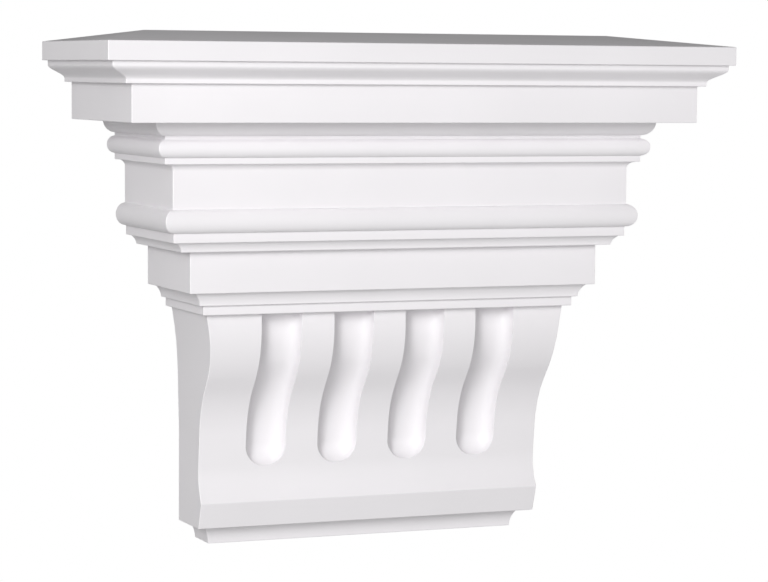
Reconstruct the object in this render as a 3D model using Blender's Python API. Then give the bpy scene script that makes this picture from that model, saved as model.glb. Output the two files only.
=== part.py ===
"""Moulded wall corbel: a stack of mitred mouldings over a fluted, S-curved body.

The corbel is one solid. Its flat back lies in the plane Y = 0, the front looks along -Y
and the origin is the middle of the back. All sizes are in metres.
"""
import bpy
from math import atan2, cos, pi, radians, sin, sqrt

# Base: a small hollow moulding under the body.
BASE_DEPTH = 0.0255
BASE_HALF_WIDTH = 0.1023
BASE_HOLLOW_OUT = 0.0042
BASE_HOLLOW_HEIGHT = 0.0114
BASE_SOFFIT_FRONT = 0.0083
BASE_SOFFIT_SIDE = 0.0064

# Body: flat sides, and a front that is an S from the lip up to the mouldings.
BAND_OUT = 0.0053
BAND_HEIGHT = 0.0162
LIP_ANGLE = radians(33.0)
LIP_HOLLOW_RADIUS = 0.034
PLAIN_ANGLE = radians(5.5)
PLAIN_LENGTH = 0.0189
HOLLOW_RADIUS = 0.053
STEEPEST_ANGLE = radians(35.0)
BELLY_RADIUS = 0.100
NECK_ANGLE = radians(3.0)
SIDE_FLARE_RADIUS = 0.200
SIDE_FLARE_HEIGHT = 0.045

# Flutes: grooves that follow the front, open at the top and rounded at the foot. Their
# section is a rounded square: round at a squareness of 2, and squarer above it.
FLUTE_COUNT = 4
FLUTE_WIDTH = 0.0260
FLUTE_GAP = 0.0210
FLUTE_DEPTH = 0.0100
FLUTE_LENGTH = 0.0970
FLUTE_SQUARENESS = 3.5

# Mouldings above the body, from the lowest up. OUT is a step away from the wall, and a
# step out on the side faces is SIDE_SHARE times the step on the front.
SIDE_SHARE = 1.21
NECK_STEP_FRONT = 0.0055
NECK_STEP_SIDE = 0.0037
LOW_FILLET_HEIGHT = 0.0061
LOW_FILLET_OUT = 0.0025
LOW_HOLLOW_HEIGHT = 0.0078
LOW_HOLLOW_OUT = 0.0036
LOW_FASCIA_OUT = 0.0034
LOW_FASCIA_HEIGHT = 0.0251
MID_SOFFIT_OUT = 0.0062
MID_HOLLOW_HEIGHT = 0.0058
MID_HOLLOW_OUT = 0.0032
MID_FILLET_OUT = 0.0022
MID_FILLET_HEIGHT = 0.0055
FRIEZE_OUT = 0.0006
LARGE_BEAD_HEIGHT = 0.0131
LARGE_BEAD_OUT = 0.0048
FRIEZE_HEIGHT = 0.0234
COVE_HEIGHT = 0.0042
COVE_OUT = 0.0040
SMALL_FILLET_OUT = 0.0014
SMALL_FILLET_HEIGHT = 0.0039
SMALL_BEAD_HEIGHT = 0.0100
SMALL_BEAD_OUT = 0.0041
UPPER_FILLET_HEIGHT = 0.0020
OVOLO_HEIGHT = 0.0086
OVOLO_OUT = 0.0062
TOP_SOFFIT_OUT = 0.0162
TOP_FASCIA_HEIGHT = 0.0225
OGEE_STEP_OUT = 0.0037
OGEE_FOOT_HEIGHT = 0.0024
OGEE_HEIGHT = 0.0090
OGEE_OUT = 0.0086
OGEE_HEAD_HEIGHT = 0.0017
SLAB_OUT = 0.0029
SLAB_HEIGHT = 0.0108

# Weathered top: four low slopes that meet in a ridge.
RIDGE_HEIGHT = 0.0070
RIDGE_FROM_WALL = 0.0540
RIDGE_END_INSET = 0.0470

# Steps that stand for a curve, and the angle past which an edge stays sharp.
CURVE_STEPS = 6
BEAD_STEPS = 10
FRONT_STEPS = 10
GROOVE_SIDES = 32
FOOT_RINGS = 7
SHARP_EDGE = radians(25.0)


class Profile:
    """Section of a moulding as (depth from the wall, height) points, built upwards."""

    def __init__(self, depth, height):
        self.points = [(depth, height)]

    def add(self, out, up):
        depth, height = self.points[-1]
        self.points.append((depth + out, height + up))

    def follow(self, shape, out, up, steps):
        """Adds a curve; shape gives the shares of up and out at a share of the curve."""
        depth, height = self.points[-1]
        for step in range(1, steps + 1):
            share_up, share_out = shape(step / steps)
            self.points.append((depth + out * share_out, height + up * share_up))

    def fillet(self, up):
        self.add(0.0, up)

    def soffit(self, out):
        self.add(out, 0.0)

    def hollow(self, out, up):
        self.follow(lambda t: (t, t * t), out, up, CURVE_STEPS)

    def cove(self, out, up):
        self.follow(lambda t: (sin(t * pi / 2), 1 - cos(t * pi / 2)), out, up, CURVE_STEPS)

    def ovolo(self, out, up):
        self.follow(lambda t: (1 - cos(t * pi / 2), sin(t * pi / 2)), out, up, CURVE_STEPS)

    def ogee(self, out, up):
        self.follow(lambda t: (t, (1 - cos(t * pi)) / 2), out, up, 2 * CURVE_STEPS)

    def bead(self, out, up):
        self.follow(lambda t: ((1 - cos(t * pi)) / 2, sin(t * pi)), out, up, BEAD_STEPS)

    def lean(self, start, end, radius, steps):
        """Adds an arc whose slope turns from the start angle to the end angle.

        Angles are measured from upright, and a positive one leans away from the wall.
        """
        depth, height = self.points[-1]
        side = 1 if end > start else -1
        for step in range(1, steps + 1):
            angle = start + (end - start) * step / steps
            self.points.append((
                depth + side * radius * (cos(start) - cos(angle)),
                height + side * radius * (sin(angle) - sin(start)),
            ))


def front_profile():
    """The S of the body's front, from the bottom of its band up to the mouldings."""
    line = Profile(BASE_DEPTH + BASE_HOLLOW_OUT + BASE_SOFFIT_FRONT, BASE_HOLLOW_HEIGHT)
    line.add(BAND_OUT, BAND_HEIGHT)
    line.lean(-LIP_ANGLE, PLAIN_ANGLE, LIP_HOLLOW_RADIUS, FRONT_STEPS)
    line.add(PLAIN_LENGTH * sin(PLAIN_ANGLE), PLAIN_LENGTH * cos(PLAIN_ANGLE))
    line.lean(PLAIN_ANGLE, STEEPEST_ANGLE, HOLLOW_RADIUS, FRONT_STEPS)
    line.lean(STEEPEST_ANGLE, NECK_ANGLE, BELLY_RADIUS, 2 * FRONT_STEPS)
    return line


def stack_profile(depth, height):
    """The mitred mouldings, from the neck of the body to the top edge of the slab."""
    line = Profile(depth + NECK_STEP_FRONT, height)
    line.fillet(LOW_FILLET_HEIGHT)
    line.soffit(LOW_FILLET_OUT)
    line.hollow(LOW_HOLLOW_OUT, LOW_HOLLOW_HEIGHT)
    line.soffit(LOW_FASCIA_OUT)
    line.fillet(LOW_FASCIA_HEIGHT)
    line.soffit(MID_SOFFIT_OUT)
    line.hollow(MID_HOLLOW_OUT, MID_HOLLOW_HEIGHT)
    line.soffit(MID_FILLET_OUT)
    line.fillet(MID_FILLET_HEIGHT)
    line.soffit(FRIEZE_OUT)
    line.bead(LARGE_BEAD_OUT, LARGE_BEAD_HEIGHT)
    line.fillet(FRIEZE_HEIGHT)
    line.cove(COVE_OUT, COVE_HEIGHT)
    line.soffit(SMALL_FILLET_OUT)
    line.fillet(SMALL_FILLET_HEIGHT)
    line.bead(SMALL_BEAD_OUT, SMALL_BEAD_HEIGHT)
    line.fillet(UPPER_FILLET_HEIGHT)
    line.ovolo(OVOLO_OUT, OVOLO_HEIGHT)
    line.soffit(TOP_SOFFIT_OUT)
    line.fillet(TOP_FASCIA_HEIGHT)
    line.soffit(OGEE_STEP_OUT)
    line.fillet(OGEE_FOOT_HEIGHT)
    line.ogee(OGEE_OUT, OGEE_HEIGHT)
    line.fillet(OGEE_HEAD_HEIGHT)
    line.soffit(SLAB_OUT)
    line.fillet(SLAB_HEIGHT)
    return line


def body_half_width(height, neck_height):
    """Half width of the body: flat sides that flare a little under the mouldings."""
    half = BASE_HALF_WIDTH + BASE_HOLLOW_OUT + BASE_SOFFIT_SIDE
    rise = max(min(height, neck_height) - (neck_height - SIDE_FLARE_HEIGHT), 0.0)
    return half + SIDE_FLARE_RADIUS - sqrt(max(SIDE_FLARE_RADIUS ** 2 - rise ** 2, 0.0))


def new_object(name, vertices, faces):
    mesh = bpy.data.meshes.new(name)
    mesh.from_pydata(vertices, [], faces)
    obj = bpy.data.objects.new(name, mesh)
    bpy.context.scene.collection.objects.link(obj)
    return obj


def loft(rows):
    """Sides, flat back and underside of a form given as rows of (half width, depth, height).

    A row is four corners: the wall on the left, two at the front, the wall on the right.
    """
    vertices = []
    for half, depth, height in rows:
        vertices += [(-half, 0.0, height), (-half, -depth, height)]
        vertices += [(half, -depth, height), (half, 0.0, height)]
    lefts = range(0, len(vertices), 4)
    faces = []
    for low, high in zip(lefts, lefts[1:]):
        for corner in range(3):
            faces.append((low + corner, low + corner + 1, high + corner + 1, high + corner))
    rights = [left + 3 for left in lefts]
    faces.append((*lefts, *reversed(rights)))
    faces.append((0, 3, 2, 1))
    return vertices, faces


def make_stack(neck_depth, neck_half, neck_height):
    """Mouldings and weathered top as one closed mesh, and the height of the slab's edge."""
    line = stack_profile(neck_depth, neck_height)
    first = line.points[0][0]
    start = neck_half + NECK_STEP_SIDE
    rows = [(start + SIDE_SHARE * (depth - first), depth, height) for depth, height in line.points]
    vertices, faces = loft(rows)
    half, _, height = rows[-1]
    for side in (-1, 1):
        vertices.append((side * (half - RIDGE_END_INSET), -RIDGE_FROM_WALL, height + RIDGE_HEIGHT))
    back_left, front_left, front_right, back_right, left, right = range(len(vertices))[-6:]
    faces.append((front_left, front_right, right, left))
    faces.append((back_left, front_left, left))
    faces.append((front_right, back_right, right))
    faces.append((back_right, back_left, left, right))
    return new_object("corbel", vertices, faces), height


def make_body(line, neck_height):
    """Base and body as one closed mesh that runs up inside the mouldings."""
    base = Profile(BASE_DEPTH, 0.0)
    base.hollow(BASE_HOLLOW_OUT, BASE_HOLLOW_HEIGHT)
    rows = [(BASE_HALF_WIDTH + depth - BASE_DEPTH, depth, height) for depth, height in base.points]
    rows += [(body_half_width(height, neck_height), depth, height) for depth, height in line.points]
    half, depth, height = rows[-1]
    rows.append((half, depth, height + LOW_FILLET_HEIGHT + LOW_HOLLOW_HEIGHT / 2))
    vertices, faces = loft(rows)
    faces.append(tuple(range(len(vertices))[-4:]))
    return new_object("body_form", vertices, faces)


def groove_path(line, rise, clear):
    """Centre line of a flute's cutter as (depth, height, lean), from the top down.

    It starts a rise above the neck, keeps the distance clear to the front, and stops where
    the ball at its end gives the flute its length.
    """
    neck_depth, neck_height = line.points[-1]
    foot = neck_height - FLUTE_LENGTH + FLUTE_WIDTH / 2
    path = [(neck_depth + clear, neck_height + rise, 0.0)]
    falling = line.points[::-1]
    for upper, lower in zip(falling, falling[1:]):
        lean = atan2(upper[0] - lower[0], upper[1] - lower[1])
        middle = (upper[1] + lower[1]) / 2
        height = max(middle, foot)
        share = (height - lower[1]) / (upper[1] - lower[1])
        depth = lower[0] + share * (upper[0] - lower[0])
        path.append((depth + clear * cos(lean), height - clear * sin(lean), lean))
        if middle < foot:
            break
    return path


def groove_section():
    """Points of a flute's section, as shares of its half width to the right and inwards."""
    points = []
    for side in range(GROOVE_SIDES):
        angle = 2 * pi * side / GROOVE_SIDES
        right, inward = cos(angle), sin(angle)
        power = FLUTE_SQUARENESS
        reach = (abs(right) ** power + abs(inward) ** power) ** (-1 / power)
        points.append((reach * right, reach * inward))
    return points


def make_groove(name, x, path):
    """A rod along the path with a ball-like foot, closed at both ends."""
    radius = FLUTE_WIDTH / 2
    section = groove_section()
    rings = [(depth, height, radius, lean) for depth, height, lean in path]
    depth, height, lean = path[-1]
    for step in range(1, FOOT_RINGS):
        turn = pi / 2 * step / FOOT_RINGS
        drop = radius * sin(turn)
        rings.append((depth - drop * sin(lean), height - drop * cos(lean), radius * cos(turn), lean))
    vertices = []
    for ring_depth, ring_height, size, ring_lean in rings:
        for right, inward in section:
            out = size * inward
            y = -(ring_depth + out * cos(ring_lean))
            vertices.append((x + size * right, y, ring_height - out * sin(ring_lean)))
    faces = [tuple(reversed(range(GROOVE_SIDES)))]
    for upper in range(0, len(vertices) - GROOVE_SIDES, GROOVE_SIDES):
        lower = upper + GROOVE_SIDES
        for side in range(GROOVE_SIDES):
            after = (side + 1) % GROOVE_SIDES
            faces.append((upper + side, upper + after, lower + after, lower + side))
    tip = len(vertices)
    vertices.append((x, -(depth - radius * sin(lean)), height - radius * cos(lean)))
    last = tip - GROOVE_SIDES
    for side in range(GROOVE_SIDES):
        faces.append((last + side, last + (side + 1) % GROOVE_SIDES, tip))
    return new_object(name, vertices, faces)


def combine(target, other, operation):
    """Joins or cuts with the exact solver and deletes the other object."""
    modifier = target.modifiers.new(operation.title(), "BOOLEAN")
    modifier.operation = operation
    modifier.object = other
    modifier.solver = "EXACT"
    evaluated = target.evaluated_get(bpy.context.evaluated_depsgraph_get())
    mesh = bpy.data.meshes.new_from_object(evaluated)
    target.modifiers.remove(modifier)
    target.data = mesh
    bpy.data.objects.remove(other)


def painted_white():
    """Smooth factory primer: a near white with a trace of rose, and a little satin."""
    material = bpy.data.materials.new("white_primer")
    material.use_nodes = True
    shader = material.node_tree.nodes["Principled BSDF"]
    shader.inputs["Base Color"].default_value = (0.87, 0.85, 0.87, 1.0)
    shader.inputs["Roughness"].default_value = 0.5
    shader.inputs["Metallic"].default_value = 0.0
    return material


def main():
    for obj in list(bpy.data.objects):
        bpy.data.objects.remove(obj)

    line = front_profile()
    neck_depth, neck_height = line.points[-1]
    neck_half = body_half_width(neck_height, neck_height)
    corbel, top_height = make_stack(neck_depth, neck_half, neck_height)
    body = make_body(line, neck_height)

    clear = FLUTE_WIDTH / 2 - FLUTE_DEPTH
    path = groove_path(line, LOW_FILLET_HEIGHT + LOW_HOLLOW_HEIGHT, clear)
    pitch = FLUTE_WIDTH + FLUTE_GAP
    for index in range(FLUTE_COUNT):
        x = (index - (FLUTE_COUNT - 1) / 2) * pitch
        combine(body, make_groove(f"flute_{index + 1}", x, path), "DIFFERENCE")
    combine(corbel, body, "UNION")

    mesh = corbel.data
    for vertex in mesh.vertices:
        vertex.co.z -= top_height / 2
    mesh.shade_smooth()
    mesh.set_sharp_from_angle(angle=SHARP_EDGE)
    mesh.materials.clear()
    mesh.materials.append(painted_white())


main()
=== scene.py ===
"""Finished look of a moulded wall corbel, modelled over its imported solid.

The corbel's flat back lies in the plane Y = 0 and its front looks along -Y. Everything is in
metres. Run as a script it builds the corbel and the stage; as an add-on it lists the same
steps in the sidebar.
"""

from math import atan2, cos, pi, radians, sin, sqrt, tan

import bmesh
import bpy
from mathutils import Matrix, Vector


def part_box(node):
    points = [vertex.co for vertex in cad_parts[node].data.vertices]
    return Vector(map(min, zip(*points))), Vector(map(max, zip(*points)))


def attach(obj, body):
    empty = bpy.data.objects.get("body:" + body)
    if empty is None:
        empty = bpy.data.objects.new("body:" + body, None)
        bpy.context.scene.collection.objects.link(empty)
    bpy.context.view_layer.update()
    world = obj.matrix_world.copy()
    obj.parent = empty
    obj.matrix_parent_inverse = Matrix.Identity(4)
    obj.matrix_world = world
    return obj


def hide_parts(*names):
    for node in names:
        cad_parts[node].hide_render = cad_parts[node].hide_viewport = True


bl_info = {
    "name": "Moulded Wall Corbel",
    "version": (1, 0, 0),
    "blender": (4, 5, 0),
    "location": "3D View > Sidebar > Corbel",
    "description": "Builds a fluted wall corbel with mitred mouldings and its studio",
    "category": "Object",
}

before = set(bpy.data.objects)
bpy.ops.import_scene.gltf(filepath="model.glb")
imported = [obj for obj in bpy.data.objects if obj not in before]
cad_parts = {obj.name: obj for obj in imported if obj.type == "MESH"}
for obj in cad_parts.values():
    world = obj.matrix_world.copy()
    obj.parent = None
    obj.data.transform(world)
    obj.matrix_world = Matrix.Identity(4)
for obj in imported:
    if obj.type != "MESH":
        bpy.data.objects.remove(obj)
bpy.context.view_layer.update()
NODE = "corbel"
PIECE = "moulded_corbel"
BODY = "corbel_body"
WHITE = (1.0, 1.0, 1.0, 1.0)
LOW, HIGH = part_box(NODE)
# Corners closer than this fall together.
MERGE = 0.000005
# The body stands this far up into the mouldings, and the flutes' cutters start above it.
TENON = 0.010
CUTTER_RISE = 0.020
# Both forms go a little through the wall's plane, by different amounts, until it cuts them.
BODY_BEHIND = 0.0005
STACK_BEHIND = 0.0010
# A cutter's round corners stop just short of each other, as a share of half its width.
CORNER_REACH = 0.99
# Fineness of each soft noise.
CLOUD_DETAIL = 3.0
STROKE_DETAIL = 2.0
PEEL_DETAIL = 1.0
FLOOR_DETAIL = 4.0
# Softboxes: degrees right of the front, degrees above level, distance and size in metres.
SOFTBOXES = {
    "key": (-30, 20, 2.4, 1.3),
    "cross": (-42, 15, 2.4, 0.5),
    "wide": (-45, 5, 2.4, 1.3),
    "left": (-95, 10, 2.4, 1.3),
    "front": (20, -5, 1.3, 0.7),
    "right": (95, 0, 2.4, 1.3),
    "back": (180, 0, 2.4, 0.3),
}


def length(name, default, description):
    """A size in metres."""
    return bpy.props.FloatProperty(
        name=name, description=description, default=default, precision=4, unit="LENGTH")


def angle(name, degrees, description):
    """An angle, given in degrees and kept in radians."""
    return bpy.props.FloatProperty(
        name=name, description=description, default=radians(degrees), subtype="ANGLE")


def count(name, default, description):
    """A whole number of at least one."""
    return bpy.props.IntProperty(name=name, description=description, default=default, min=1)


def share(name, default, description):
    """A plain factor."""
    return bpy.props.FloatProperty(name=name, description=description, default=default)


def colour(name, default, description):
    """A linear colour."""
    return bpy.props.FloatVectorProperty(
        name=name, description=description, default=default, size=3, subtype="COLOR",
        min=0.0, max=1.0)


class CorbelBody(bpy.types.PropertyGroup):
    """Sizes of the base and of the S-fronted body above it."""
    base_depth: length("Base depth", 0.0255, "How far the base's underside stands out")
    base_half: length("Base half width", 0.1023, "Half the width of the base's underside")
    base_out: length("Base hollow out", 0.0042, "How far the base's hollow spreads")
    base_height: length("Base height", 0.0114, "Height of the base's hollow")
    soffit_front: length("Soffit front", 0.0083, "Step from the base out to the band's front")
    soffit_side: length("Soffit side", 0.0064, "Step from the base out to the body's side")
    band_out: length("Band out", 0.0053, "How far the band leans out towards the lip")
    band_height: length("Band height", 0.0162, "Height of the band under the lip")
    lip_angle: angle("Lip angle", 33.0, "Slope of the hollow where it meets the lip")
    lip_radius: length("Lip hollow radius", 0.034, "Radius of the hollow above the lip")
    plain_angle: angle("Plain angle", 5.5, "Lean of the plain stretch")
    plain_length: length("Plain length", 0.0189, "Length of the plain stretch")
    hollow_radius: length("Hollow radius", 0.0586, "Radius of the S's lower bend")
    steepest: angle("Steepest lean", 37.5, "Lean of the straight slope between the bends")
    slope: length("Slope", 0.0077, "Length of that slope")
    belly_radius: length("Belly radius", 0.0520, "Radius of the S's upper bend")
    neck: length("Plain neck", 0.0095, "Height of the upright front under the mouldings")
    side_lean: angle("Side lean", 1.3, "Outward lean of the sides' upper part")
    lean_height: length("Side lean height", 0.080, "Height over which the sides lean out")
    flare_radius: length("Side flare radius", 0.255, "Radius of the sides' flare")
    flare_height: length("Side flare height", 0.040, "Height over which the sides flare")


class CorbelFlutes(bpy.types.PropertyGroup):
    """Sizes of the round-footed grooves in the body's front."""
    number: count("Flutes", 4, "How many flutes the front has")
    width: length("Flute width", 0.0260, "Width of a flute at the surface")
    gap: length("Flute gap", 0.0210, "Width of the flat between two flutes")
    shift: length("Flute shift", 0.0007, "How far the flutes stand to the right of the middle")
    depth: length("Flute depth", 0.0100, "Depth of a flute at its middle")
    squareness: share("Squareness", 0.71, "Profile of a flute: 0.5 is round, 1 is square")
    length: length("Flute length", 0.0970, "Length of a flute from the mouldings to its foot")


class CorbelMouldings(bpy.types.PropertyGroup):
    """Heights and steps of the mitred mouldings, from the neck up to the slab."""
    side_share: share("Side share", 1.21, "Steps on the sides over the steps on the front")
    low_fillet: length("Low fillet", 0.0058, "Height of the fillet over the body")
    low_fillet_out: length("Low fillet step", 0.0025, "Step out over the low fillet")
    low_hollow: length("Low hollow", 0.0080, "Height of the hollow under the low fascia")
    low_hollow_out: length("Low hollow out", 0.0036, "Spread of that hollow")
    low_fascia_out: length("Low fascia step", 0.0034, "Step out under the low fascia")
    low_fascia: length("Low fascia", 0.0250, "Height of the low fascia")
    mid_soffit_out: length("Middle soffit", 0.0062, "Step out over the low fascia")
    mid_hollow: length("Middle hollow", 0.0058, "Height of the hollow over the low fascia")
    mid_hollow_out: length("Middle hollow out", 0.0032, "Spread of that hollow")
    mid_fillet_out: length("Middle fillet step", 0.0022, "Step out under the middle fillet")
    mid_fillet: length("Middle fillet", 0.0059, "Height of the middle fillet")
    frieze_out: length("Frieze step", 0.0006, "Step out under the large bead")
    large_bead: length("Large bead", 0.0137, "Height of the large bead")
    large_bead_out: length("Large bead out", 0.0048, "How far the large bead stands out")
    frieze: length("Frieze", 0.0224, "Height of the plain frieze")
    cove: length("Cove", 0.0042, "Height of the cove over the frieze")
    cove_out: length("Cove out", 0.0040, "Spread of the cove")
    small_fillet_out: length("Small fillet step", 0.0014, "Step out over the cove")
    small_fillet: length("Small fillet", 0.0039, "Height of the small fillet")
    small_bead: length("Small bead", 0.0105, "Height of the small bead")
    small_bead_out: length("Small bead out", 0.0041, "How far the small bead stands out")
    upper_fillet: length("Upper fillet", 0.0021, "Height of the fillet over the small bead")
    ovolo: length("Ovolo", 0.0080, "Height of the ovolo")
    ovolo_out: length("Ovolo out", 0.0062, "Spread of the ovolo")
    top_soffit_out: length("Top soffit", 0.0162, "Step out under the top fascia")
    top_fascia: length("Top fascia", 0.0224, "Height of the top fascia")
    ogee_step_out: length("Ogee step", 0.0037, "Step out over the top fascia")
    ogee_foot: length("Ogee foot", 0.0022, "Height of the fillet under the ogee")
    ogee: length("Ogee", 0.0080, "Height of the ogee")
    ogee_out: length("Ogee out", 0.0086, "Spread of the ogee")
    ogee_head: length("Ogee head", 0.0027, "Height of the fillet over the ogee")
    slab_out: length("Slab step", 0.0029, "Step out under the slab")
    slab: length("Slab", 0.0113, "Height of the slab's edge")
    ridge_height: length("Ridge height", 0.0070, "Rise of the weathered top")
    ridge_from_wall: length("Ridge place", 0.0540, "Distance of the ridge from the wall")
    ridge_inset: length("Ridge inset", 0.0470, "Distance of the ridge's ends from the slab's")


class CorbelFinish(bpy.types.PropertyGroup):
    """Fineness of the mesh and look of the white primer."""
    curve_steps: count("Curve steps", 12, "Facets of a small hollow, cove or ovolo")
    bead_steps: count("Bead steps", 24, "Facets of a bead")
    front_steps: count("Front steps", 24, "Facets of each bend of the S")
    groove_corner: count("Groove corner", 22, "Facets of each half of a flute's section")
    foot_rings: count("Foot rings", 18, "Rings of a flute's round foot")
    arris: length("Arris", 0.00050, "Width of the rounding on the arrises")
    rim: length("Flute rim", 0.00025, "Width of the rounding on the flutes' rims")
    crumb: length("Crumb", 0.00020, "Edges at the flutes shorter than this are merged")
    arris_segments: count("Arris segments", 4, "Facets of a rounding")
    sharp: angle("Sharp edge", 28.0, "Edges that turn by more than this are rounded")
    smooth: angle("Smooth edge", 35.0, "Edges that turn by less than this are shaded smooth")
    primer: colour("Primer", (0.87, 0.85, 0.87), "Colour of the white primer")
    mottle: share("Mottle", 1.0, "Strength of the primer's faint change of shade")
    shade_range: share("Shade range", 0.03, "How much lighter or darker the primer may be")
    cloud_scale: share("Cloud scale", 14.0, "Clouds of shade and sheen in a metre")
    roughness: share("Roughness", 0.45, "Middle roughness of the primer")
    sheen_change: share("Sheen change", 0.15, "How much the roughness changes over the face")
    stroke_scale: share("Stroke scale", 180.0, "Waves left by the mould across a metre")
    stroke_stretch: share("Stroke stretch", 0.12, "Waves along the mouldings over waves across")
    stroke_depth: length("Stroke depth", 0.00004, "Depth of those waves")
    peel_scale: share("Peel scale", 900.0, "Grains of the sprayed film across a metre")
    peel_depth: length("Peel depth", 0.00001, "Depth of those grains")


class CorbelStage(bpy.types.PropertyGroup):
    """Camera, floor and lights."""
    camera: bpy.props.FloatVectorProperty(
        name="Camera", description="Where the camera stands", default=(-0.6484, -1.6252, 0.1381),
        size=3, subtype="TRANSLATION", unit="LENGTH", precision=4)
    heading: angle("Heading", 22.486, "Turn of the view to the right of straight at the wall")
    pitch: angle("Pitch", -4.567, "Tilt of the view, below level when negative")
    roll: angle("Roll", 0.445, "Turn of the camera about its own line of sight")
    lens: bpy.props.FloatProperty(
        name="Lens", description="Focal length on a sensor 36 mm wide", default=129.6,
        unit="CAMERA")
    floor_drop: length("Floor drop", 2.8, "Distance of the floor below the corbel")
    floor_size: length("Floor size", 12.0, "Length of the floor's sides")
    floor_colour: colour("Floor colour", (0.80, 0.80, 0.80), "Colour of the pale floor")
    floor_range: share("Floor range", 0.03, "How much darker the floor may be in places")
    floor_clouds: share("Floor clouds", 2.0, "Clouds of shade in a metre of floor")
    floor_roughness: share("Floor roughness", 0.8, "Roughness of the floor")
    floor_glow: share("Floor glow", 0.22, "Brightness of the light that the floor sends up")
    ambient: share("Ambient", 0.16, "Brightness of the light from all round")
    key_power: share("Key power", 23.3, "Watts of the main light, high on the left")
    cross_power: share("Cross power", 15.3, "Watts of the small light beside it")
    wide_power: share("Wide power", 13.3, "Watts of the large level light beside it")
    left_power: share("Left power", 2.6, "Watts of the light at the left end")
    front_power: share("Front power", 1.6, "Watts of the light near the front")
    right_power: share("Right power", 25.0, "Watts of the light at the right end")
    back_power: share("Back power", 5.0, "Watts of the small light behind the corbel")


class Profile:
    """Section of a moulding as (depth from the wall, height) points, built upwards."""

    def __init__(self, depth, height, finish):
        self.points = [(depth, height)]
        self.finish = finish

    def add(self, out, up):
        """Adds a straight piece."""
        depth, height = self.points[-1]
        self.points.append((depth + out, height + up))

    def follow(self, shape, out, up, steps):
        """Adds a curve; shape gives the shares of up and out at a share of the curve."""
        depth, height = self.points[-1]
        for step in range(1, steps + 1):
            share_up, share_out = shape(step / steps)
            self.points.append((depth + out * share_out, height + up * share_up))

    def fillet(self, up):
        """Adds an upright face."""
        self.add(0.0, up)

    def soffit(self, out):
        """Adds a level underside."""
        self.add(out, 0.0)

    def hollow(self, out, up):
        """Adds a hollow that starts upright and leans out more and more."""
        self.follow(lambda t: (t, t * t), out, up, self.finish.curve_steps)

    def cove(self, out, up):
        """Adds a quarter round hollow."""
        steps = self.finish.curve_steps
        self.follow(lambda t: (sin(t * pi / 2), 1 - cos(t * pi / 2)), out, up, steps)

    def ovolo(self, out, up):
        """Adds a quarter round that bulges out."""
        steps = self.finish.curve_steps
        self.follow(lambda t: (1 - cos(t * pi / 2), sin(t * pi / 2)), out, up, steps)

    def ogee(self, out, up):
        """Adds an S that is upright at both ends."""
        self.follow(lambda t: (t, (1 - cos(t * pi)) / 2), out, up, 2 * self.finish.curve_steps)

    def bead(self, out, up):
        """Adds a half round that stands out."""
        steps = self.finish.bead_steps
        self.follow(lambda t: ((1 - cos(t * pi)) / 2, sin(t * pi)), out, up, steps)

    def lean(self, start, end, radius, steps):
        """Adds an arc whose slope turns from the start angle to the end angle."""
        depth, height = self.points[-1]
        side = 1 if end > start else -1
        for step in range(1, steps + 1):
            turned = start + (end - start) * step / steps
            self.points.append((
                depth + side * radius * (cos(start) - cos(turned)),
                height + side * radius * (sin(turned) - sin(start)),
            ))


def front_profile(body, finish):
    """The S of the body's front, from the bottom of its band up to the mouldings."""
    depth = body.base_depth + body.base_out + body.soffit_front
    line = Profile(depth, LOW.z + body.base_height, finish)
    steps = finish.front_steps
    line.add(body.band_out, body.band_height)
    line.lean(-body.lip_angle, body.plain_angle, body.lip_radius, steps)
    line.add(body.plain_length * sin(body.plain_angle), body.plain_length * cos(body.plain_angle))
    line.lean(body.plain_angle, body.steepest, body.hollow_radius, steps)
    line.add(body.slope * sin(body.steepest), body.slope * cos(body.steepest))
    line.lean(body.steepest, 0.0, body.belly_radius, 2 * steps)
    line.add(0.0, body.neck)
    return line.points


def stack_profile(sizes, finish):
    """The mitred mouldings, from the neck up to the slab's edge, which meets the frame."""
    line = Profile(0.0, 0.0, finish)
    line.fillet(sizes.low_fillet)
    line.soffit(sizes.low_fillet_out)
    line.hollow(sizes.low_hollow_out, sizes.low_hollow)
    line.soffit(sizes.low_fascia_out)
    line.fillet(sizes.low_fascia)
    line.soffit(sizes.mid_soffit_out)
    line.hollow(sizes.mid_hollow_out, sizes.mid_hollow)
    line.soffit(sizes.mid_fillet_out)
    line.fillet(sizes.mid_fillet)
    line.soffit(sizes.frieze_out)
    line.bead(sizes.large_bead_out, sizes.large_bead)
    line.fillet(sizes.frieze)
    line.cove(sizes.cove_out, sizes.cove)
    line.soffit(sizes.small_fillet_out)
    line.fillet(sizes.small_fillet)
    line.bead(sizes.small_bead_out, sizes.small_bead)
    line.fillet(sizes.upper_fillet)
    line.ovolo(sizes.ovolo_out, sizes.ovolo)
    line.soffit(sizes.top_soffit_out)
    line.fillet(sizes.top_fascia)
    line.soffit(sizes.ogee_step_out)
    line.fillet(sizes.ogee_foot)
    line.ogee(sizes.ogee_out, sizes.ogee)
    line.fillet(sizes.ogee_head)
    line.soffit(sizes.slab_out)
    line.fillet(sizes.slab)
    slab_depth, slab_top = line.points[-1]
    out = -LOW.y - slab_depth
    up = HIGH.z - sizes.ridge_height - slab_top
    return [(depth + out, height + up) for depth, height in line.points]


def body_half_width(body, height, neck_height):
    """Half width of the body: sides that lean out a little and flare under the mouldings."""
    below = max(neck_height - height, 0.0)
    leaning = max(body.lean_height - below, 0.0)
    flaring = max(body.flare_height - below, 0.0)
    half = body.base_half + body.base_out + body.soffit_side + leaning * tan(body.side_lean)
    return half + body.flare_radius - sqrt(body.flare_radius ** 2 - flaring ** 2)


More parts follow.
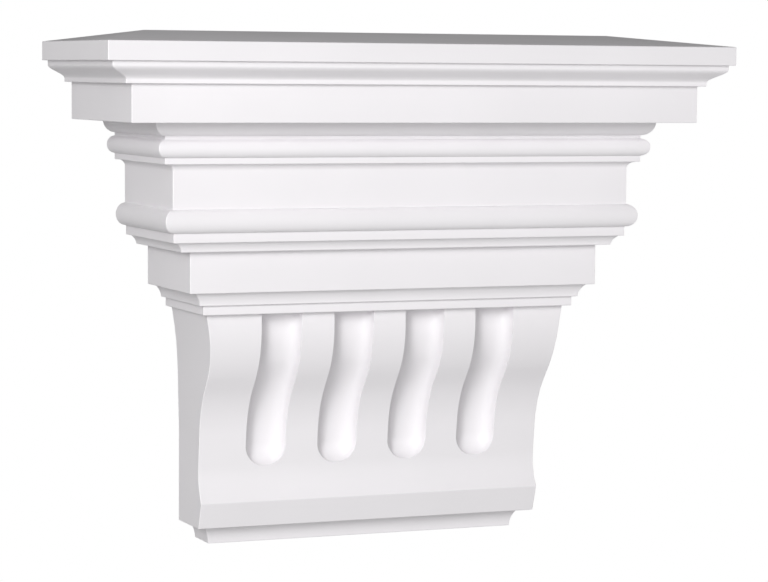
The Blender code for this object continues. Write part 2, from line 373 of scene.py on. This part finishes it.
def select_edges(block, wanted):
    """Selects, in edit mode, exactly the edges for which wanted is true."""
    bpy.ops.mesh.select_mode(type="EDGE")
    bpy.ops.mesh.select_all(action="DESELECT")
    form = bmesh.from_edit_mesh(block.data)
    for edge in form.edges:
        edge.select_set(wanted(edge))
    form.select_flush_mode()
    bmesh.update_edit_mesh(block.data)


def start_outline(name, half, depth, height, behind):
    """Adds the underside, a rectangle through the wall, and selects its three free sides."""
    bpy.ops.object.select_all(action="DESELECT")
    bpy.ops.mesh.primitive_plane_add(size=1.0, location=(0.0, (behind - depth) / 2, height))
    block = bpy.context.object
    block.name = name
    block.scale = (2 * half, depth + behind, 1.0)
    bpy.ops.object.transform_apply(location=True, rotation=True, scale=True)
    bpy.ops.object.mode_set(mode="EDIT")
    select_edges(block, lambda edge: any(corner.co.y < 0.0 for corner in edge.verts))
    return block


def extrude_through(rows, behind):
    """Extrudes the selected sides up through rows of (half width, depth, height)."""
    for row, after in zip(rows, rows[1:]):
        bpy.ops.mesh.extrude_edges_move(
            TRANSFORM_OT_translate={"value": (0.0, 0.0, after[2] - row[2])})
        bpy.ops.transform.resize(
            value=(after[0] / row[0], (after[1] + behind) / (row[1] + behind), 1.0),
            center_override=(0.0, behind, after[2]))
    bpy.ops.mesh.edge_face_add()


def close_form(block):
    """Fills the back, merges what fell together and points the faces outwards."""
    select_edges(block, lambda edge: len(edge.link_faces) == 1)
    bpy.ops.mesh.edge_face_add()
    bpy.ops.mesh.select_all(action="SELECT")
    bpy.ops.mesh.remove_doubles(threshold=MERGE)
    bpy.ops.mesh.normals_make_consistent(inside=False)
    bpy.ops.object.mode_set(mode="OBJECT")


def activate(block):
    """Makes one object the only one selected, and the active one."""
    bpy.ops.object.select_all(action="DESELECT")
    block.select_set(True)
    bpy.context.view_layer.objects.active = block


def round_edges(block, width, segments, wanted):
    """Rounds the wanted edges of an object to a width."""
    activate(block)
    bpy.ops.object.mode_set(mode="EDIT")
    select_edges(block, wanted)
    bpy.ops.mesh.bevel(offset=width, segments=segments, affect="EDGES", clamp_overlap=True)
    bpy.ops.mesh.select_all(action="SELECT")
    bpy.ops.mesh.remove_doubles(threshold=MERGE)
    bpy.ops.object.mode_set(mode="OBJECT")


def is_arris(edge, sharp):
    """Whether an edge turns sharply and isn't behind the wall's plane."""
    in_wall = all(corner.co.y > 0.0 for corner in edge.verts)
    return not in_wall and len(edge.link_faces) == 2 and edge.calc_face_angle(0.0) > sharp


def combine(target, other, operation):
    """Joins or cuts with the exact solver, applied, and deletes the other object."""
    bpy.ops.object.select_all(action="DESELECT")
    bpy.context.view_layer.objects.active = target
    modifier = target.modifiers.new(operation.title(), "BOOLEAN")
    modifier.operation = operation
    modifier.object = other
    modifier.solver = "EXACT"
    bpy.ops.object.modifier_apply(modifier=modifier.name)
    bpy.data.objects.remove(other)


class CORBEL_OT_body(bpy.types.Operator):
    """Model the base and the S-fronted body by extruding an outline upwards"""
    bl_idname = "corbel.body"
    bl_label = "Body and Base"

    def execute(self, context):
        body, finish = context.scene.corbel_body, context.scene.corbel_finish
        line = front_profile(body, finish)
        neck_height = line[-1][1]
        base = Profile(body.base_depth, LOW.z, finish)
        base.hollow(body.base_out, body.base_height)
        widen = body.base_half - body.base_depth
        rows = [(widen + depth, depth, height) for depth, height in base.points]
        rows += [(body_half_width(body, height, neck_height), depth, height)
                 for depth, height in line]
        half, depth, height = rows[-1]
        rows.append((half, depth, height + TENON))
        block = start_outline(BODY, *rows[0], BODY_BEHIND)
        extrude_through(rows, BODY_BEHIND)
        close_form(block)
        round_edges(block, finish.arris, finish.arris_segments,
                    lambda edge: is_arris(edge, finish.sharp)
                    and any(corner.co.z < height for corner in edge.verts))
        return {"FINISHED"}


class CORBEL_OT_flutes(bpy.types.Operator):
    """Cut the round-footed flutes that follow the body's front"""
    bl_idname = "corbel.flutes"
    bl_label = "Flutes"

    def execute(self, context):
        body, finish = context.scene.corbel_body, context.scene.corbel_finish
        flutes = context.scene.corbel_flutes
        block = bpy.data.objects[BODY]
        line = front_profile(body, finish)
        path = groove_path(line, flutes, flutes.width / 2 - flutes.depth)
        pitch = flutes.width + flutes.gap
        span = (flutes.number - 1) * pitch
        groove = model_groove(flutes.shift - span / 2, path, flutes, finish)
        for index in range(1, flutes.number):
            activate(groove)
            bpy.ops.object.duplicate_move(
                TRANSFORM_OT_translate={"value": (index * pitch, 0.0, 0.0)})
            combine(block, bpy.context.object, "DIFFERENCE")
        combine(block, groove, "DIFFERENCE")
        reach = span / 2 + flutes.shift + flutes.width / 2 + finish.arris
        lip_height = line[1][1] + finish.arris
        ceiling = line[-1][1] + TENON / 2

        def in_flutes(edge):
            return all(abs(corner.co.x) < reach and lip_height < corner.co.z < ceiling
                       for corner in edge.verts)

        activate(block)
        bpy.ops.object.mode_set(mode="EDIT")
        select_edges(block, in_flutes)
        bpy.ops.mesh.dissolve_degenerate(threshold=finish.crumb)
        bpy.ops.object.mode_set(mode="OBJECT")
        round_edges(block, finish.rim, finish.arris_segments,
                    lambda edge: in_flutes(edge) and is_arris(edge, finish.sharp))
        return {"FINISHED"}


def groove_path(line, flutes, clear):
    """Centre line of a flute's cutter as (depth, height, lean), from the top down.

    Its rings stand at the middles of the front's facets, so that no edge of the cutter
    meets an edge of the body.
    """
    neck_depth, neck_height = line[-1]
    foot = neck_height - flutes.length + flutes.width / 2
    path = [(neck_depth + clear, neck_height + CUTTER_RISE, 0.0)]
    falling = line[::-1]
    for upper, lower in zip(falling, falling[1:]):
        lean = atan2(upper[0] - lower[0], upper[1] - lower[1])
        middle = (upper[1] + lower[1]) / 2
        height = max(middle, foot)
        share_up = (height - lower[1]) / (upper[1] - lower[1])
        depth = lower[0] + share_up * (upper[0] - lower[0])
        path.append((depth + clear * cos(lean), height - clear * sin(lean), lean))
        if middle < foot:
            break
    return path


def model_groove(x, path, flutes, finish):
    """A flute's cutter: a square with two round corners, extruded down the path to a foot."""
    depth, height, lean = path[0]
    radius = flutes.width / 2
    bpy.ops.object.select_all(action="DESELECT")
    bpy.ops.mesh.primitive_plane_add(size=flutes.width, location=(x, -depth, height))
    groove = bpy.context.object
    bpy.ops.object.transform_apply(location=True, rotation=True, scale=True)
    bpy.ops.object.mode_set(mode="EDIT")
    select_edges(groove, lambda edge: all(corner.co.y > -depth for corner in edge.verts))
    bpy.ops.mesh.bevel(
        offset=radius * CORNER_REACH, segments=finish.groove_corner, profile=flutes.squareness,
        affect="VERTICES")
    bpy.ops.mesh.select_mode(type="FACE")
    bpy.ops.mesh.select_all(action="SELECT")
    for after_depth, after_height, after_lean in path[1:]:
        move = (0.0, depth - after_depth, after_height - height)
        bpy.ops.mesh.extrude_region_move(TRANSFORM_OT_translate={"value": move})
        bpy.ops.transform.rotate(
            value=lean - after_lean, orient_axis="X",
            center_override=(x, -after_depth, after_height))
        depth, height, lean = after_depth, after_height, after_lean
    size, dropped = radius, 0.0
    for step in range(1, finish.foot_rings + 1):
        turn = pi / 2 * step / finish.foot_rings
        drop, after_size = radius * sin(turn), radius * cos(turn)
        centre = (x, -(depth - drop * sin(lean)), height - drop * cos(lean))
        by = drop - dropped
        move = (0.0, by * sin(lean), -by * cos(lean))
        bpy.ops.mesh.extrude_region_move(TRANSFORM_OT_translate={"value": move})
        ratio = after_size / size
        bpy.ops.transform.resize(value=(ratio, ratio, ratio), center_override=centre)
        size, dropped = after_size, drop
    close_form(groove)
    return groove


class CORBEL_OT_mouldings(bpy.types.Operator):
    """Model the mitred mouldings and the weathered top by extruding an outline upwards"""
    bl_idname = "corbel.mouldings"
    bl_label = "Mouldings and Top"

    def execute(self, context):
        sizes, finish = context.scene.corbel_mouldings, context.scene.corbel_finish
        line = stack_profile(sizes, finish)
        slab_depth = line[-1][0]
        rows = [(HIGH.x - sizes.side_share * (slab_depth - depth), depth, height)
                for depth, height in line]
        block = start_outline(PIECE, *rows[0], STACK_BEHIND)
        extrude_through(rows, STACK_BEHIND)
        half, depth, height = rows[-1]
        select_edges(block, lambda edge: all(v.co.z > height - MERGE for v in edge.verts))
        bpy.ops.mesh.select_mode(type="FACE")
        bpy.ops.mesh.extrude_region_move(
            TRANSFORM_OT_translate={"value": (0.0, 0.0, sizes.ridge_height)})
        bpy.ops.transform.resize(
            value=(1 - sizes.ridge_inset / half, 0.0, 1.0),
            center_override=(0.0, -sizes.ridge_from_wall, height + sizes.ridge_height))
        close_form(block)
        round_edges(block, finish.arris, finish.arris_segments,
                    lambda edge: is_arris(edge, finish.sharp))
        return {"FINISHED"}


class CORBEL_OT_join(bpy.types.Operator):
    """Join body and mouldings into one smooth piece that stands for the solid"""
    bl_idname = "corbel.join"
    bl_label = "Join"

    def execute(self, context):
        finish = context.scene.corbel_finish
        piece = bpy.data.objects[PIECE]
        combine(piece, bpy.data.objects[BODY], "UNION")
        activate(piece)
        bpy.ops.object.mode_set(mode="EDIT")
        bpy.ops.mesh.select_all(action="SELECT")
        bpy.ops.mesh.bisect(
            plane_co=(0.0, 0.0, 0.0), plane_no=(0.0, 1.0, 0.0), clear_outer=True, use_fill=True)
        bpy.ops.object.mode_set(mode="OBJECT")
        bpy.ops.object.shade_smooth_by_angle(angle=finish.smooth)
        modifier = piece.modifiers.new("Weighted normals", "WEIGHTED_NORMAL")
        modifier.keep_sharp = True
        bpy.ops.object.modifier_apply(modifier=modifier.name)
        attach(piece, "root")
        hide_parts(NODE)
        return {"FINISHED"}


class Value:
    """A number carried by a shader socket; arithmetic on it adds Math nodes."""

    def __init__(self, shading, socket):
        self.shading = shading
        self.socket = socket

    def math(self, operation, left, right):
        """Adds a Math node for two values or numbers."""
        return self.shading.node(
            "ShaderNodeMath", {"operation": operation}, {0: left, 1: right})

    def __add__(self, other):
        return self.math("ADD", self, other)

    def __sub__(self, other):
        return self.math("SUBTRACT", self, other)

    def __rsub__(self, other):
        return self.math("SUBTRACT", other, self)

    def __mul__(self, other):
        return self.math("MULTIPLY", self, other)

    __radd__ = __add__
    __rmul__ = __mul__


class Shading:
    """The node tree of a material or a world."""

    def __init__(self, owner):
        owner.use_nodes = True
        self.tree = owner.node_tree
        self.tree.nodes.clear()

    def node(self, kind, settings, sockets, output=0):
        """Adds a node: its settings first, then a value or a link for each socket."""
        node = self.tree.nodes.new(kind)
        for name, setting in settings.items():
            setattr(node, name, setting)
        for name, given in sockets.items():
            if isinstance(given, Value):
                self.tree.links.new(given.socket, node.inputs[name])
            else:
                node.inputs[name].default_value = given
        return Value(self, node.outputs[output]) if node.outputs else None

    def mix_colours(self, factor, first, second):
        """Mixes two colours; the Mix node's colour sockets are its last pair."""
        settings = {"data_type": "RGBA"}
        return self.node("ShaderNodeMix", settings, {0: factor, 6: first, 7: second}, 2)

    def noise(self, place, scale, detail):
        """A soft noise between about 0.3 and 0.7."""
        sockets = {"Vector": place, "Scale": scale, "Detail": detail}
        return self.node("ShaderNodeTexNoise", {}, sockets)


def tint(shade, factor):
    """A colour with its brightness multiplied, as a socket takes it."""
    return (*(part * factor for part in shade), 1.0)


class CORBEL_OT_primer(bpy.types.Operator):
    """Give the corbel its sprayed white primer"""
    bl_idname = "corbel.primer"
    bl_label = "White Primer"

    def execute(self, context):
        finish = context.scene.corbel_finish
        material = bpy.data.materials.new("white_primer")
        shading = Shading(material)
        place = shading.node("ShaderNodeTexCoord", {}, {}, "Object")
        stretch = (finish.stroke_stretch, 1.0, 1.0)
        along = shading.node("ShaderNodeMapping", {}, {"Vector": place, "Scale": stretch})
        cloud = shading.noise(place, finish.cloud_scale, CLOUD_DETAIL)
        strokes = shading.noise(along, finish.stroke_scale, STROKE_DETAIL)
        peel = shading.noise(place, finish.peel_scale, PEEL_DETAIL)
        dark = tint(finish.primer, 1.0 - finish.shade_range)
        light = tint(finish.primer, 1.0 + finish.shade_range)
        shade = shading.mix_colours((cloud - 0.5) * finish.mottle + 0.5, dark, light)
        height = strokes * finish.stroke_depth + peel * finish.peel_depth
        bump = shading.node("ShaderNodeBump", {}, {"Height": height, "Distance": 1.0})
        surface = shading.node("ShaderNodeBsdfPrincipled", {}, {
            "Base Color": shade,
            "Roughness": (cloud - 0.5) * finish.sheen_change + finish.roughness,
            "Normal": bump,
        })
        shading.node("ShaderNodeOutputMaterial", {}, {"Surface": surface})
        for obj in (bpy.data.objects[PIECE], bpy.data.objects[NODE]):
            obj.data.materials.clear()
            obj.data.materials.append(material)
        return {"FINISHED"}


def add_camera(stage):
    """The camera, to the left of the front and nearly level with the slab."""
    data = bpy.data.cameras.new("Camera")
    data.lens = stage.lens
    camera = bpy.data.objects.new("Camera", data)
    bpy.context.scene.collection.objects.link(camera)
    turn = (Matrix.Rotation(-stage.heading, 4, "Z")
            @ Matrix.Rotation(radians(90) + stage.pitch, 4, "X")
            @ Matrix.Rotation(stage.roll, 4, "Z"))
    camera.matrix_world = Matrix.Translation(stage.camera) @ turn
    bpy.context.scene.camera = camera


def add_softbox(name, turn, rise, distance, size, power):
    """A square light aimed at the corbel's middle, by its degrees round and above level."""
    turn, rise = radians(turn), radians(rise)
    data = bpy.data.lights.new(name, "AREA")
    data.shape = "SQUARE"
    data.size = size
    data.energy = power
    box = bpy.data.objects.new(name, data)
    bpy.context.scene.collection.objects.link(box)
    away = Vector((sin(turn) * cos(rise), -cos(turn) * cos(rise), sin(rise)))
    aim = (-away).to_track_quat("-Z", "Y").to_matrix().to_4x4()
    centre = Vector((0.0, LOW.y / 2, 0.0))
    box.matrix_world = Matrix.Translation(centre + away * distance) @ aim
    box.visible_camera = False


def add_floor(stage):
    """A pale floor far below, with a faint change of shade, that sends up a little light."""
    bpy.ops.object.select_all(action="DESELECT")
    bpy.ops.mesh.primitive_plane_add(
        size=stage.floor_size, location=(0.0, 0.0, LOW.z - stage.floor_drop))
    floor = bpy.context.object
    floor.name = "floor"
    material = bpy.data.materials.new("pale_floor")
    shading = Shading(material)
    place = shading.node("ShaderNodeTexCoord", {}, {}, "Object")
    cloud = shading.noise(place, stage.floor_clouds, FLOOR_DETAIL)
    dark = tint(stage.floor_colour, 1.0 - stage.floor_range)
    shade = shading.mix_colours(cloud, dark, tint(stage.floor_colour, 1.0))
    surface = shading.node("ShaderNodeBsdfPrincipled", {}, {
        "Base Color": shade,
        "Roughness": stage.floor_roughness,
        "Emission Color": WHITE,
        "Emission Strength": stage.floor_glow,
    })
    shading.node("ShaderNodeOutputMaterial", {}, {"Surface": surface})
    floor.data.materials.append(material)


def light_world(stage):
    """Even soft light from all round, and plain white where the camera sees past."""
    world = bpy.data.worlds.new("studio")
    bpy.context.scene.world = world
    shading = Shading(world)
    seen = shading.node("ShaderNodeLightPath", {}, {}, "Is Camera Ray")
    strength = seen * (1.0 - stage.ambient) + stage.ambient
    glow = shading.node("ShaderNodeBackground", {}, {"Color": WHITE, "Strength": strength})
    shading.node("ShaderNodeOutputWorld", {}, {"Surface": glow})


class CORBEL_OT_stage(bpy.types.Operator):
    """Set the camera, the pale floor and the soft lights"""
    bl_idname = "corbel.stage"
    bl_label = "Studio"

    def execute(self, context):
        stage = context.scene.corbel_stage
        add_camera(stage)
        add_floor(stage)
        light_world(stage)
        for name, place in SOFTBOXES.items():
            add_softbox(name, *place, getattr(stage, f"{name}_power"))
        context.scene.view_settings.view_transform = "Standard"
        return {"FINISHED"}


class CORBEL_PT_panel(bpy.types.Panel):
    """Lists the corbel's steps and sizes"""
    bl_idname = "CORBEL_PT_panel"
    bl_label = "Moulded Wall Corbel"
    bl_space_type = "VIEW_3D"
    bl_region_type = "UI"
    bl_category = "Corbel"

    def draw(self, context):
        for step in STEPS:
            self.layout.operator(step.bl_idname)
        for name, group in GROUPS.items():
            box = self.layout.box()
            settings = getattr(context.scene, name)
            for size in group.__annotations__:
                box.prop(settings, size)


GROUPS = {
    "corbel_body": CorbelBody,
    "corbel_flutes": CorbelFlutes,
    "corbel_mouldings": CorbelMouldings,
    "corbel_finish": CorbelFinish,
    "corbel_stage": CorbelStage,
}
STEPS = (
    CORBEL_OT_body, CORBEL_OT_flutes, CORBEL_OT_mouldings, CORBEL_OT_join, CORBEL_OT_primer,
    CORBEL_OT_stage,
)


def register():
    """Registers the sizes, the steps and the panel, and gives the scene its sizes."""
    for each in (*GROUPS.values(), *STEPS, CORBEL_PT_panel):
        bpy.utils.register_class(each)
    for name, group in GROUPS.items():
        setattr(bpy.types.Scene, name, bpy.props.PointerProperty(type=group))


def unregister():
    """Takes back what register added."""
    for name in GROUPS:
        delattr(bpy.types.Scene, name)
    for each in reversed((*GROUPS.values(), *STEPS, CORBEL_PT_panel)):
        bpy.utils.unregister_class(each)


def main():
    register()
    bpy.ops.corbel.body()
    bpy.ops.corbel.flutes()
    bpy.ops.corbel.mouldings()
    bpy.ops.corbel.join()
    bpy.ops.corbel.primer()
    bpy.ops.corbel.stage()


if __name__ == "__main__":
    main()
